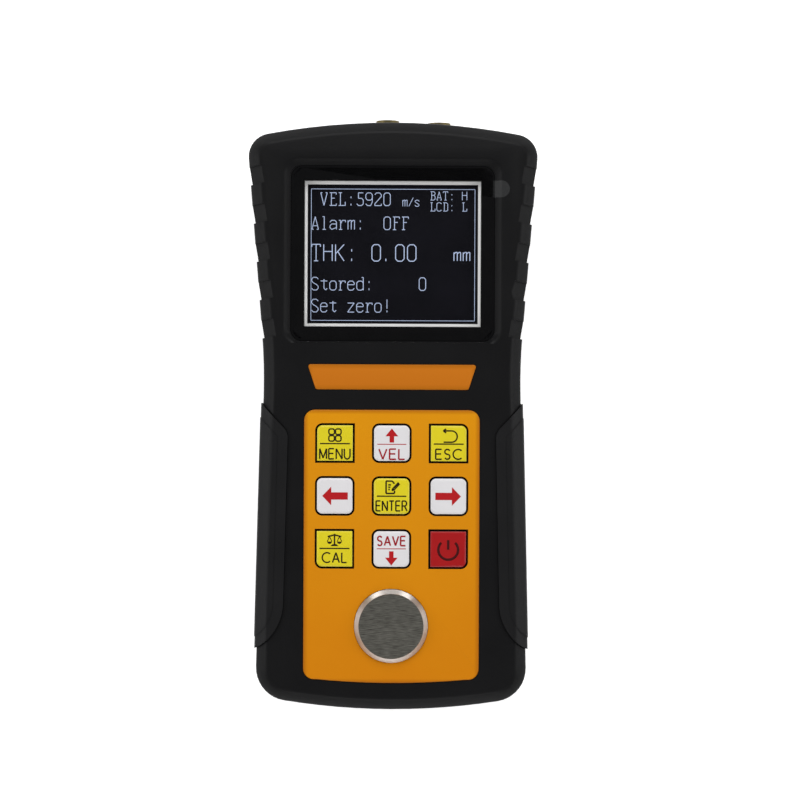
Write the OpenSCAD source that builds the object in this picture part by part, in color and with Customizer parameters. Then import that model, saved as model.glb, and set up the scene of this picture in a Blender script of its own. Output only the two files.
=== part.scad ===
// Handheld ultrasonic thickness gauge, lying on its back with the display up.
// X runs across the case, Y towards the probe sockets, Z out of the front face.
// The origin is the middle of the flat back.

/* [Case] */
// Length of the case from heel to crown
case_length = 203; // [199:0.5:210]
// Thickness of the case from the back to the front face
case_depth = 32.5; // [32:0.1:36]
// Width across the head, at its widest
head_width = 100; // [97:0.5:106]
// Width across the waist, at its narrowest
waist_width = 88.8; // [87:0.2:94]
// Width across the base, at its widest
base_width = 93.4; // [91:0.2:98]
// Height of the waist above the middle of the case
waist_y = 12; // [8:0.5:16]
// Radius of the hollow that joins the two flanks at the waist
waist_radius = 200; // [150:5:260]
// Radius of the arc along the crown
crown_radius = 235; // [200:5:280]
// Radius of the arc along the heel
heel_radius = 237; // [200:5:280]
// Radius of the two corners of the head
head_corner = 8; // [6.5:0.1:9.5]
// Radius of the two corners of the base
base_corner = 11.5; // [10:0.1:13]
// Wall thickness of both shells
wall = 2.4; // [2.2:0.1:2.8]
// Height of the joint between the shells above the back
parting_height = 11; // [10.9:0.1:12]
// Width of the bevel round the front face
bevel_width = 3.6; // [3:0.1:4.2]
// Depth of the bevel round the front face
bevel_depth = 3.2; // [2.6:0.1:3.8]
// How far the rounded edge of the back reaches in
back_round_width = 6; // [4.5:0.1:7]
// How far the rounded edge of the back reaches up the side
back_round_height = 8; // [7:0.1:8.4]

/* [Finger notches] */
// Number of notches along each upper edge
notch_count = 5; // [3:1:5]
// Distance between two notches
notch_pitch = 13.2; // [12:0.1:13.6]
// Distance from the crown to the middle of the first notch
notch_start = 19; // [18:0.1:21]
// Length of one notch along the edge
notch_length = 6.2; // [5:0.1:7]
// Depth of the ledge at the lower end of a notch
notch_depth = 0.66; // [0.5:0.02:0.9]
// How far a notch cuts in past the bevel
notch_reach = 1.5; // [1:0.1:2]

/* [Grips] */
// Distance from the waist down to the grip's upper tip
grip_drop = 8.3; // [7:0.1:11]
// Distance from the heel to the grip's lower end
grip_margin = 21.2; // [20:0.1:25]
// How far a grip reaches in over the front face
grip_reach = 9.15; // [8:0.05:10.5]
// Radius of the round lower end of a grip
grip_end_radius = 18; // [15:0.5:20]
// Radius of the corner under the slanted upper end
grip_tip_radius = 5; // [4.6:0.1:6]
// How far the grip stands proud of the case
grip_proud = 0.75; // [0.5:0.05:0.9]
// How far the raised pad stands above the grip's border
pad_rise = 0.2; // [0.1:0.05:0.4]
// Width of the border round the raised pad
pad_border = 3.8; // [3:0.1:4.4]
// Depth of the seat that holds the grip
grip_seat = 1.3; // [1:0.1:1.5]
// Height of the grip's lower edge above the back
grip_foot = 8.5; // [8.4:0.1:9.5]

/* [Display] */
// Width of the lens
lens_width = 70.5; // [66:0.5:73]
// Corner radius of the lens
lens_corner = 4; // [3:0.1:5]
// Thickness of the lens
lens_thickness = 1.2; // [1:0.1:1.3]
// Depth of the lens below the front face
lens_drop = 1.3; // [1:0.1:1.6]
// Distance from the crown to the lens
lens_start = 15.15; // [14.5:0.05:17]
// Width of the sloping rim at the top and sides of the lens
rim_width = 2.4; // [1.6:0.1:2.8]
// Width of the sloping rim below the lens
rim_foot = 0.6; // [0.3:0.1:1]
// Width of the white frame of the display
view_width = 60.9; // [57:0.1:63]
// Distance from the lens edge to the white frame, above and below it
view_margin = 5.15; // [4.5:0.05:6]
// Width of the white border round the panel
view_border = 1.2; // [1:0.1:1.6]
// Radius of the film's pull tab
tab_radius = 2.9; // [2.4:0.1:3.4]
// How far the pull tab reaches past the lens
tab_reach = 5; // [4.8:0.1:6.2]
// Distance from the top of the lens to the middle of the pull tab
tab_drop = 8; // [6:0.1:20]

/* [Name plate] */
// Width of the name plate along its top
plate_top_width = 58.8; // [54:0.2:60]
// Width of the name plate along its bottom
plate_bottom_width = 52.8; // [48:0.2:54]
// Height of the name plate
plate_height = 9.05; // [8:0.05:9.6]
// Gap between lens and name plate
plate_gap = 7.85; // [6.5:0.05:8.5]
// Corner radius of the name plate
plate_corner = 1; // [0.6:0.1:1.4]
// Thickness of the name plate
plate_thickness = 0.8; // [0.6:0.1:1]

/* [Keypad] */
// Width of the fascia
fascia_width = 60.9; // [58:0.1:64]
// Gap between name plate and fascia
fascia_gap = 6.55; // [5:0.05:7]
// Distance from the heel to the lowest point of the fascia
fascia_margin = 9.3; // [8:0.1:11]
// Corner radius of the fascia
fascia_corner = 4; // [3:0.1:5]
// How far the fascia's lower edge bows out
fascia_bow = 1.2; // [0.6:0.1:2]
// Thickness of the fascia
fascia_thickness = 1.2; // [1:0.1:1.4]
// Depth of the seat that holds the fascia
fascia_seat = 1; // [0.8:0.05:1.1]
// Width and height of a key cap
key_size = 12.2; // [11:0.1:13]
// Gap round a key cap
key_gap = 0.65; // [0.4:0.05:0.7]
// Distance between two keys of a row
key_pitch_x = 19.56; // [18:0.01:20]
// Distance between two rows
key_pitch_y = 18.2; // [17:0.05:18.6]
// Distance from the fascia's top edge to the middle of the first row
key_start = 11.7; // [10.5:0.1:12.4]
// Radius of a rounded key corner
key_corner = 1.8; // [1:0.1:2.4]
// How far a key stands above the fascia
key_rise = 0.6; // [0.4:0.05:0.9]
// How far a key can be pressed
key_travel = 0.5; // [0.3:0.05:0.6]
// Width of the ledge that keeps a key in
key_ledge = 0.7; // [0.5:0.05:1]
// Diameter of a key's stem
stem_diameter = 3.4; // [3:0.1:4]

/* [Test block] */
// Diameter of the test block
block_diameter = 25.3; // [23:0.1:26]
// Thickness of the test block
block_thickness = 4; // [3.6:0.1:4]
// How far the test block stands above the fascia
block_rise = 2.3; // [2:0.1:2.5]
// Width of the chamfer round the test block
block_chamfer = 1.5; // [0.8:0.1:1.8]
// Distance from the fascia's lowest point to the middle of the test block
block_start = 19.95; // [17:0.05:21]
// Distance from the middle of the test block to the middle of the last row of keys
key_lift = 26.45; // [25:0.05:29]

/* [Probe sockets] */
// Place of the left socket across the crown
socket_x = -2; // [-8:0.5:0]
// Distance between the two sockets
socket_spacing = 18; // [16:0.1:20]
// Height of the sockets above the back
socket_height = 20; // [19.5:0.1:21]
// Diameter of a socket's flange
flange_diameter = 8; // [7.8:0.1:9]
// Thickness of a socket's flange
flange_thickness = 1.9; // [1.5:0.1:2.2]
// Diameter of a socket's barrel
barrel_diameter = 7; // [6.6:0.1:7.4]
// Length of a socket behind its flange
barrel_length = 11; // [10:0.1:12]
// Diameter of the bore that takes the plug
bore_diameter = 5; // [4.6:0.1:5.4]
// Depth of the bore that takes the plug
bore_depth = 6; // [5:0.1:7]
// Diameter of the insulator
insulator_diameter = 3.3; // [2.6:0.1:4]
// Diameter of the contact
contact_diameter = 0.9; // [0.7:0.1:1.2]
// Width across the flats of the nut
nut_width = 9; // [8.6:0.1:9.6]
// Thickness of the nut
nut_thickness = 2; // [1.6:0.1:2.4]

/* [Circuit board] */
// Width of the circuit board
board_width = 74; // [72:0.5:76]
// Thickness of the circuit board
board_thickness = 1.6; // [1.2:0.1:1.7]
// Depth of the board below the front face
board_drop = 8.9; // [8.8:0.05:9.2]
// Distance from the crown to the board
board_start = 22.5; // [22:0.1:24]
// Distance from the heel to the board
board_end = 39.5; // [38:0.5:41]
// Width of a key switch
switch_size = 6.2; // [5.6:0.1:7]
// Height of a key switch
switch_height = 3.4; // [3:0.1:3.6]
// Diameter of the alarm sounder
sounder_diameter = 12; // [9:0.5:14]
// Height of the alarm sounder
sounder_height = 5.5; // [4:0.1:6]

/* [Batteries] */
// Diameter of a cell
cell_diameter = 14.3; // [13.9:0.1:14.5]
// Length of a cell with its button
cell_length = 50.5; // [49:0.1:51]
// Distance between the two cells
cell_pitch = 15.4; // [15:0.1:16]
// Room for a contact spring
spring_room = 6; // [5:0.1:7]
// Wall thickness of the battery bay
bay_wall = 1.4; // [1.2:0.1:1.7]
// Distance from the heel to the battery bay
bay_start = 23; // [22:0.5:24]
// Width of the battery door
door_width = 36.6; // [35:0.2:40]
// Thickness of the battery door
door_thickness = 1.95; // [1.8:0.05:2]
// How far the door's tongues reach into their grooves
tongue_width = 1; // [0.7:0.05:1.4]

/* [Fasteners] */
// Diameter of a case screw
screw_diameter = 2.9; // [2.6:0.1:3.2]
// Diameter of a case screw's head
screw_head = 5.6; // [5:0.1:6]
// Distance from the middle line to the upper case screws
upper_screw_x = 38.5; // [37.5:0.1:39]
// Distance from the crown to the upper case screws
upper_screw_y = 17.5; // [16.5:0.1:18.4]
// Distance from the middle line to the lower case screws
lower_screw_x = 33; // [31:0.1:34]
// Distance from the heel to the lower case screws
lower_screw_y = 15.5; // [15:0.1:17]
// Diameter of a board screw
board_screw_diameter = 2.4; // [2:0.1:2.6]
// Distance from the middle line to the board screws
board_screw_x = 33.5; // [33.2:0.1:34]

/* [Hidden] */
$fn = 64;

// Colours of the materials
shell_black = [0.12, 0.12, 0.13];
rubber_black = [0.16, 0.16, 0.17];
plate_orange = [0.83, 0.54, 0.07];
key_yellow = [0.87, 0.82, 0.16];
key_white = [0.87, 0.86, 0.87];
key_red = [0.69, 0.11, 0.13];
steel = [0.72, 0.71, 0.68];
gold = [0.83, 0.68, 0.32];
board_green = [0.09, 0.33, 0.2];
lens_black = [0.05, 0.05, 0.05];
frame_white = [0.8, 0.79, 0.8];
panel_blue = [0.08, 0.08, 0.11];
film_grey = [0.6, 0.62, 0.62];
insulator_white = [0.85, 0.84, 0.8];
lead_grey = [0.3, 0.3, 0.32];
part_black = [0.1, 0.1, 0.1];
cell_brass = [0.75, 0.62, 0.3];

// Clearances between pieces
fit_gap = 0.15;
slide_gap = 0.25;
stem_gap = 0.05;
thread_gap = 0.05;
cut = 1;
bond = 0.3;

// Main levels, measured up from the back
front_z = case_depth;
inner_z = front_z - wall;
fascia_floor = front_z - fascia_seat;
fascia_top = fascia_floor + fascia_thickness;
key_top = fascia_top + key_rise;
block_top = fascia_top + block_rise;
block_floor = block_top - block_thickness;
lens_top = front_z - lens_drop;
lens_floor = lens_top - lens_thickness;
lens_ledge = 1.4;
ledge_z = lens_floor - lens_ledge;
board_top = front_z - board_drop;
board_floor = board_top - board_thickness;

// Places along the case, from the heel up; the lens fills what is left below the crown
crown_y = case_length / 2;
heel_y = -case_length / 2;
fascia_low = heel_y + fascia_margin;
block_y = fascia_low + block_start;
key_y = block_y + key_lift + 2 * key_pitch_y;
fascia_y = key_y + key_start;
plate_y = fascia_y + fascia_gap + plate_height;
lens_low = plate_y + plate_gap;
lens_high = crown_y - lens_start;
lens_y = (lens_low + lens_high) / 2;
lens_height = lens_high - lens_low;
view_height = lens_height - 2 * view_margin;
tab_y = lens_high - tab_drop;
grip_top = waist_y - grip_drop;
grip_bottom = -heel_y - grip_margin;

// Outline of the case: tangent arcs down the right-hand side, mirrored for the left
function heading(v) = atan2(v.y, v.x);
function ray(a) = [cos(a), sin(a)];
function arc(centre, radius, from, to, steps, first = 0, side = 1) = [
    for (i = [first:steps]) let (e = ray(from + (to - from) * i / steps)) [centre + radius * e, side * e]
];

// Centre of a corner that rolls inside an end arc; sign is 1 at the crown and -1 at the heel
function corner_centre(width, radius, arc_centre, arc_radius, sign) = let (x = width / 2 - radius)
    [x, arc_centre.y + sign * sqrt(pow(arc_radius - radius, 2) - x * x)];

// Heading of the normal of the straight flank between a corner and the hollow of the waist
function flank_heading(corner, radius, sign) = let (d = waist_centre - corner)
    heading(d) + sign * acos((radius + waist_radius) / norm(d));

crown_centre = [0, crown_y - crown_radius];
heel_centre = [0, heel_y + heel_radius];
waist_centre = [waist_width / 2 + waist_radius, waist_y];
head_centre = corner_centre(head_width, head_corner, crown_centre, crown_radius, 1);
base_centre = corner_centre(base_width, base_corner, heel_centre, heel_radius, -1);
upper_heading = flank_heading(head_centre, head_corner, 1);
lower_heading = flank_heading(base_centre, base_corner, -1);
crown_end = heading(head_centre - crown_centre);
heel_end = heading(base_centre - heel_centre);

outline = concat(
    arc(crown_centre, crown_radius, 90, crown_end, 6),
    arc(head_centre, head_corner, crown_end, upper_heading, 8, 1),
    arc(waist_centre, waist_radius, 180 + upper_heading, 180 + lower_heading, 4, 0, -1),
    arc(base_centre, base_corner, lower_heading, heel_end, 9),
    arc(heel_centre, heel_radius, heel_end, -90, 6, 1)
);

// The outline moved inwards, as one closed ring of points
function ring(inset) = let (half = [for (s = outline) s[0] - inset * s[1]]) concat(
    half, [for (i = [len(half) - 2:-1:1]) [-half[i].x, half[i].y]]
);

// Solid through the outline at stacked levels, each [height, inset], from the lowest up
module loft(levels) {
    n = 2 * (len(outline) - 1);
    m = n / 2;
    top = n * (len(levels) - 1);
    points = [for (l = levels) for (p = ring(l[1])) [p.x, p.y, l[0]]];
    sides = [
        for (k = [0:len(levels) - 2]) for (i = [0:n - 1])
            [k * n + i, k * n + (i + 1) % n, (k + 1) * n + (i + 1) % n, (k + 1) * n + i]
    ];
    lid = concat(
        [[0, 1, n - 1]], [for (i = [1:m - 2]) [i, i + 1, n - i - 1, n - i]], [[m - 1, m, m + 1]]
    );
    under = [for (f = lid) [for (i = [len(f) - 1:-1:0]) f[i]]];
    polyhedron(points, concat(under, sides, [for (f = lid) [for (i = f) top + i]]));
}

// Bevel of the front edge, with both of its edges softened
bevel_slope = norm([bevel_width, bevel_depth]);
bevel_soft = 0.7;
function blend(a, b, c, steps) = [
    for (i = [0:steps]) let (t = i / steps) (1 - t) * (1 - t) * a + 2 * t * (1 - t) * b + t * t * c
];
bevel_low = [front_z - bevel_depth, 0];
bevel_high = [front_z, bevel_width];
bevel_run = (bevel_high - bevel_low) / bevel_slope * bevel_soft;
bevel_levels = concat(
    blend(bevel_low - [bevel_soft, 0], bevel_low, bevel_low + bevel_run, 3),
    blend(bevel_high - bevel_run, bevel_high, bevel_high + [0, bevel_soft], 2)
);

// Where a surface that lies p outside the front edge turns from front to bevel, and from bevel to side
function edge_in(p) = -bevel_width + p * (bevel_slope - bevel_width) / bevel_depth;
function edge_out(p) = front_z - bevel_depth + p * (bevel_slope - bevel_depth) / bevel_width;

// Rounded edge of the back, moved in by an inset; the head's corners stay round at the back
corner_least = 0.5;
function back_levels(inset, steps) = let (
    width = min(back_round_width, head_corner - corner_least - inset)
) [
    for (i = [0:steps]) let (a = 90 * i / steps)
        [inset + back_round_height * (1 - cos(a)), inset + width * (1 - sin(a))]
];

seam = 0.35;
front_outside = concat([[parting_height, seam], [parting_height + seam, 0]], bevel_levels);
front_inside = [[parting_height - cut, wall], [edge_out(-wall), wall], [inner_z, -edge_in(-wall)]];
rear_outside = concat(back_levels(0, 6), [[parting_height - seam, 0], [parting_height, seam]]);
rear_inside = concat(back_levels(wall, 4), [[parting_height + cut, wall]]);

// Frames that sit on the right-hand flanks, X out of the case and Y up along the flank
function flank_x(heading, corner, radius, y) = let (n = ray(heading))
    (n * corner + radius - n.y * y) / n.x;
module on_upper_flank(y) {
    x = flank_x(upper_heading, head_centre, head_corner, y);
    translate([x, y, 0]) rotate([0, 0, upper_heading]) children();
}
module on_lower_flank() {
    x = flank_x(lower_heading, base_centre, base_corner, 0);
    translate([x, 0, 0]) rotate([0, 0, lower_heading]) children();
}
module both_sides() {
    children();
    mirror([1, 0, 0]) children();
}

// Flat shapes with rounded corners
module rounded_box(width, height, radius) {
    difference() {
        square([width, height], center = true);
        for (x = [-1, 1], y = [-1, 1]) translate([x * width / 2, y * height / 2]) difference() {
            square(2 * radius, center = true);
            translate([-x * radius, -y * radius]) circle(radius);
        }
    }
}

// Notches for the fingers: the floor slopes in from a small step to a ledge at the lower end
notch_lip = 0.12;
notch_slope = atan((notch_depth - notch_lip) / notch_length);
notch_mid = (notch_depth + notch_lip) / 2;
notch_shift = notch_reach - notch_mid;
notch_far = 4;
module notch() {
    top_in = bevel_width * (bevel_depth + cut) / bevel_depth + notch_shift;
    corner_z = front_z - bevel_depth - (notch_shift - notch_mid) * bevel_depth / bevel_width;
    rotate([0, 0, -notch_slope]) rotate([90, 0, 0]) linear_extrude(notch_length, center = true) polygon([
        [-top_in, front_z + cut], [-notch_mid, corner_z], [-notch_mid, -cut],
        [notch_far, -cut], [notch_far, front_z + cut]
    ]);
}
module notches() {
    both_sides() for (i = [0:notch_count - 1])
        on_upper_flank(crown_y - notch_start - i * notch_pitch) notch();
}

// Grips: plan of the grip on the lower flank, moved in by an inset, and its wrap round the front edge
grip_far = 3;
function grip_plan(inset) = let (
    reach = grip_reach - inset,
    end = grip_end_radius - inset,
    tip = grip_tip_radius - inset,
    end_x = grip_end_radius - grip_reach,
    end_y = sqrt(pow(grip_end_radius, 2) - pow(end_x, 2)) - grip_bottom,
    tip_y = grip_top - grip_reach + grip_tip_radius * (1 - sqrt(2)),
    slant = grip_top - inset * sqrt(2)
) concat(
    [for (s = arc([end_x, end_y], end, 180 + acos((end_x - grip_far) / end), 180, 14)) s[0]],
    [for (s = arc([grip_tip_radius - grip_reach, tip_y], tip, 180, 135, 5)) s[0]],
    [[grip_far, slant + grip_far]]
);
module grip_wrap(outer, inner, low, plan_inset) {
    span = grip_top + grip_bottom;
    far = grip_reach + 2 * grip_far;
    on_lower_flank() intersection() {
        translate([0, span, 0]) rotate([90, 0, 0]) linear_extrude(3 * span) polygon([
            [-far, front_z + outer], [edge_in(outer), front_z + outer], [outer, edge_out(outer)],
            [outer, low], [inner, low], [inner, edge_out(inner)],
            [edge_in(inner), front_z + inner], [-far, front_z + inner]
        ]);
        linear_extrude(2 * case_depth) polygon(grip_plan(plan_inset));
    }
}
module grip() {
    color(rubber_black) union() {
        grip_wrap(grip_proud, -grip_seat, grip_foot, fit_gap);
        grip_wrap(grip_proud + pad_rise, 0, grip_foot + pad_border, pad_border);
    }
}
module grip_seats() {
    both_sides() grip_wrap(grip_proud + cut, -grip_seat - fit_gap, grip_foot - fit_gap, 0);
}
module grip_right() {
    grip();
}
module grip_left() {
    mirror([1, 0, 0]) grip();
}

// Case screws: bosses in both shells, counterbores in the back
boss_wall = 2;
head_height = 2.4;
head_depth = 1.4;
screw_reach = 24;
pilot_reach = 25.5;
head_gap = 0.4;
shank_gap = 0.2;
hex_radius = 1.4;
hex_depth = 1.2;
counterbore = screw_head / 2 + head_gap;
head_seat = head_depth + head_height;
shank_hole = screw_diameter / 2 + shank_gap;
pilot_hole = screw_diameter / 2 + thread_gap;
case_screw_places = [
    for (x = [-1, 1]) each [
        [x * upper_screw_x, crown_y - upper_screw_y], [x * lower_screw_x, heel_y + lower_screw_y]
    ]
];
module at_case_screws(z) {
    for (p = case_screw_places) translate([p.x, p.y, z]) children();
}
module case_screws() {
    color(steel) at_case_screws(head_depth) difference() {
        union() {
            cylinder(h = head_height, d = screw_head);
            cylinder(h = screw_reach - head_depth, d = screw_diameter);
        }
        translate([0, 0, -cut]) cylinder(h = hex_depth + cut, r = hex_radius, $fn = 6);
    }
}

// Board screws: posts under the front wall hold the circuit board
post_wall = 1.8;
post_reach = 4.5;
board_head = 4.4;
board_head_height = 1.5;
board_hex_radius = 1.1;
board_hex_depth = 0.75;
board_shank_hole = board_screw_diameter / 2 + fit_gap;
board_post = board_screw_diameter / 2 + thread_gap + post_wall;
board_screw_places = [
    for (x = [-1, 1]) each [
        [x * board_screw_x, plate_y], [x * board_screw_x, heel_y + board_end + 2 * board_post]
    ]
];
module at_board_screws(z) {
    for (p = board_screw_places) translate([p.x, p.y, z]) children();
}
module board_screws() {
    screw_length = board_head_height + board_thickness + post_reach - fit_gap;
    color(steel) at_board_screws(board_floor - board_head_height) difference() {
        union() {
            cylinder(h = board_head_height, d = board_head);
            cylinder(h = screw_length, d = board_screw_diameter);
        }
        translate([0, 0, -cut]) cylinder(h = board_hex_depth + cut, r = board_hex_radius, $fn = 6);
    }
}

// Keys: columns, rows and the corners that are rounded, from upper left clockwise
module key_place(column, row) {
    translate([column * key_pitch_x, key_y - row * key_pitch_y, 0]) children();
}
module key_shape(corners, grow = 0) {
    half = key_size / 2 + grow;
    radius = key_corner + grow;
    signs = [[-1, 1], [1, 1], [1, -1], [-1, -1]];
    difference() {
        square(2 * half, center = true);
        for (i = [0:3]) if (corners[i]) translate(half * signs[i]) difference() {
            square(2 * radius, center = true);
            translate(-radius * signs[i]) circle(radius);
        }
    }
}
all_round = [true, true, true, true];
key_corners = [
    [[true, false, false, false], all_round, [false, true, false, false]],
    [all_round, all_round, all_round],
    [[false, false, false, true], all_round, [false, false, true, false]]
];
ledge_stop = 0.1;
ledge_thickness = 1;
key_soft = 0.4;
key_edge = 0.1;
ledge_top = inner_z - ledge_stop;
ledge_floor = ledge_top - ledge_thickness;
well_floor = 0.7;
stem_stop = 0.2;
stem_low = board_top + well_floor + key_travel + stem_stop;
module key(column, row) {
    corners = key_corners[row][column + 1];
    key_place(column, row) union() {
        translate([0, 0, ledge_floor]) linear_extrude(key_top - key_soft - ledge_floor) key_shape(corners);
        translate([0, 0, key_top - key_soft]) hull() {
            linear_extrude(key_edge) key_shape(corners, $fn = 32);
            linear_extrude(key_soft) key_shape(corners, -key_soft, $fn = 32);
        }
        translate([0, 0, ledge_floor]) linear_extrude(ledge_thickness)
            square(key_size + 2 * (key_gap + key_ledge), center = true);
        translate([0, 0, stem_low]) cylinder(h = ledge_floor + bond - stem_low, d = stem_diameter);
    }
}
module key_holes(low, high) {
    for (row = [0:2], column = [-1:1]) key_place(column, row) translate([0, 0, low])
        linear_extrude(high - low) key_shape(key_corners[row][column + 1], key_gap);
}
module key_menu() {
    color(key_yellow) key(-1, 0);
}
module key_up() {
    color(key_white) key(0, 0);
}
module key_escape() {
    color(key_yellow) key(1, 0);
}
module key_left() {
    color(key_white) key(-1, 1);
}
module key_enter() {
    color(key_yellow) key(0, 1);
}
module key_right() {
    color(key_white) key(1, 1);
}
module key_calibrate() {
    color(key_yellow) key(-1, 2);
}
module key_down() {
    color(key_white) key(0, 2);
}
module key_power() {
    color(key_red) key(1, 2);
}

// Fascia: square top, lower edge bowed out between two rounded corners
fascia_height = fascia_y - fascia_low;
bow_inset = 1;
bow_half = fascia_width / 2 - fascia_corner - bow_inset;
bow_radius = (bow_half * bow_half + fascia_bow * fascia_bow) / (2 * fascia_bow);
module fascia_shape(grow = 0) {
    width = fascia_width + 2 * grow;
    straight = fascia_height - fascia_bow;
    union() {
        translate([0, fascia_y - straight / 2])
            rounded_box(width, straight + 2 * grow, fascia_corner + grow);
        intersection() {
            translate([0, fascia_low + bow_radius]) circle(bow_radius + grow, $fn = 360);
            translate([-bow_half - bow_inset / 2, fascia_low - grow - cut])
                square([2 * bow_half + bow_inset, fascia_height / 2]);
        }
    }
}
module fascia_plate() {
    color(plate_orange) difference() {
        translate([0, 0, fascia_floor]) linear_extrude(fascia_thickness) fascia_shape(-fit_gap);
        key_holes(fascia_floor - cut, fascia_top + cut);
        translate([0, block_y, fascia_floor - cut])
            cylinder(h = fascia_thickness + 2 * cut, d = block_diameter + 2 * fit_gap);
    }
}

// Name plate: a trapezoid with small round corners
module name_plate_shape(grow = 0) {
    offset(plate_corner + grow) offset(-plate_corner) polygon([
        [-plate_top_width / 2, plate_y], [plate_top_width / 2, plate_y],
        [plate_bottom_width / 2, plate_y - plate_height], [-plate_bottom_width / 2, plate_y - plate_height]
    ]);
}
plate_rise = 0.1;
plate_floor = front_z - plate_thickness + plate_rise;
module name_plate() {
    color(plate_orange) translate([0, 0, plate_floor]) linear_extrude(plate_thickness)
        name_plate_shape(-fit_gap, $fn = 32);
}

// Test block: a turned steel disc with a chamfered rim
module test_block() {
    r = block_diameter / 2;
    color(steel) translate([0, block_y, 0]) rotate_extrude() polygon([
        [0, block_floor], [r, block_floor], [r, block_top - block_chamfer],
        [r - block_chamfer, block_top], [0, block_top]
    ]);
}

// Display: lens in the front, panel in its white frame behind it
module lens_shape(grow = 0) {
    translate([0, lens_y]) rounded_box(lens_width + 2 * grow, lens_height + 2 * grow, lens_corner + grow);
}
module display_lens() {
    color(lens_black) translate([0, 0, lens_floor]) linear_extrude(lens_thickness) lens_shape(-fit_gap);
}
rim_step = 0.1;
rim_rise = lens_drop + cut;
rim_sheet = 0.01;
module rim_cut() {
    side = rim_step + (rim_width - rim_step) * rim_rise / lens_drop;
    foot = rim_step + (rim_foot - rim_step) * rim_rise / lens_drop;
    translate([0, lens_y, lens_top]) hull($fn = 32) {
        linear_extrude(rim_sheet)
            rounded_box(lens_width + 2 * rim_step, lens_height + 2 * rim_step, lens_corner + rim_step);
        translate([0, (side - foot) / 2, rim_rise]) linear_extrude(rim_sheet)
            rounded_box(lens_width + 2 * side, lens_height + side + foot, lens_corner + side / 2);
    }
}
view_gap = 0.2;
view_top = ledge_z - view_gap;
panel_thickness = 2.8;
panel_recess = 0.2;
panel_floor = view_top - panel_recess - panel_thickness;
module display_frame() {
    color(frame_white) translate([0, lens_y, 0]) difference() {
        translate([-view_width / 2, -view_height / 2, board_top])
            cube([view_width, view_height, view_top - board_top]);
        translate([view_border - view_width / 2, view_border - view_height / 2, panel_floor])
            cube([view_width - 2 * view_border, view_height - 2 * view_border, view_top]);
    }
}
module display_panel() {
    width = view_width - 2 * view_border - 2 * fit_gap;
    height = view_height - 2 * view_border - 2 * fit_gap;
    color(panel_blue) translate([-width / 2, lens_y - height / 2, panel_floor])
        cube([width, height, panel_thickness]);
}

// Protective film: a sheet on the lens whose pull tab bends up over the rim
film_thickness = 0.15;
film_margin = 0.8;
film_lift = 0.05;
module screen_film() {
    edge = lens_width / 2 - film_margin;
    bend = lens_width / 2 - 2 * film_lift;
    rim = lens_width / 2 + rim_width - film_lift;
    tip = lens_width / 2 + tab_reach;
    low = lens_top + film_thickness;
    high = front_z + film_lift;
    color(film_grey) union() {
        translate([0, 0, lens_top]) linear_extrude(film_thickness) lens_shape(-film_margin);
        intersection() {
            translate([0, tab_y + tab_radius]) rotate([90, 0, 0]) linear_extrude(2 * tab_radius) polygon([
                [edge - cut, lens_top], [bend, lens_top], [rim, high], [tip, high],
                [tip, high + film_thickness], [rim - film_thickness / 2, high + film_thickness],
                [bend - film_thickness / 2, low], [edge - cut, low]
            ]);
            linear_extrude(2 * case_depth) union() {
                translate([tip - tab_radius, tab_y]) circle(tab_radius);
                translate([edge - 2 * cut, tab_y - tab_radius])
                    square([tip - tab_radius - edge + 2 * cut, 2 * tab_radius]);
            }
        }
    }
}

// Probe sockets: turned bodies through the end wall, each held by a nut inside
seat_sink = 0.4;
seat_wall = 1.6;
function crown_at(x) = crown_centre.y + sqrt(crown_radius * crown_radius - x * x);
socket_places = [socket_x, socket_x + socket_spacing];
function seat_y(x) = crown_at(abs(x) + flange_diameter / 2) - seat_sink;
module at_socket(i) {
    translate([socket_places[i], seat_y(socket_places[i]), socket_height]) rotate([-90, 0, 0]) children();
}
module at_sockets() {
    for (i = [0, 1]) at_socket(i) children();
}
insulator_low = flange_thickness - bore_depth;
contact_tail = 2;
flange_gap = 0.3;
seat_cut = 5;
module socket() {
    color(gold) rotate_extrude() polygon([
        [insulator_diameter / 2 + stem_gap, -barrel_length], [barrel_diameter / 2, -barrel_length],
        [barrel_diameter / 2, 0], [flange_diameter / 2, 0], [flange_diameter / 2, flange_thickness],
        [bore_diameter / 2, flange_thickness], [bore_diameter / 2, insulator_low],
        [insulator_diameter / 2 + stem_gap, insulator_low]
    ]);
}
module socket_left() {
    at_socket(0) socket();
}
module socket_right() {
    at_socket(1) socket();
}
module socket_nuts() {
    color(steel) at_sockets() translate([0, 0, -seat_wall - nut_thickness]) difference() {
        cylinder(h = nut_thickness, r = nut_width / sqrt(3), $fn = 6);
        translate([0, 0, -cut]) cylinder(h = nut_thickness + 2 * cut, d = barrel_diameter + 2 * thread_gap);
    }
}
module socket_insulators() {
    color(insulator_white) at_sockets() difference() {
        translate([0, 0, -barrel_length])
            cylinder(h = barrel_length + insulator_low, d = insulator_diameter);
        translate([0, 0, -barrel_length - cut])
            cylinder(h = barrel_length + insulator_low + 2 * cut, d = contact_diameter + 2 * stem_gap);
    }
}
module socket_contacts() {
    color(gold) at_sockets() translate([0, 0, -barrel_length - contact_tail])
        cylinder(h = barrel_length + contact_tail + insulator_low, d = contact_diameter);
}
module socket_holes() {
    at_sockets() {
        translate([0, 0, -seat_cut]) cylinder(h = 2 * seat_cut, d = barrel_diameter + 2 * thread_gap);
        cylinder(h = seat_cut, d = flange_diameter + 2 * flange_gap);
        translate([0, 0, -seat_wall - seat_cut])
            cylinder(h = seat_cut, r = nut_width / sqrt(3) + fit_gap);
    }
}

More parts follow.
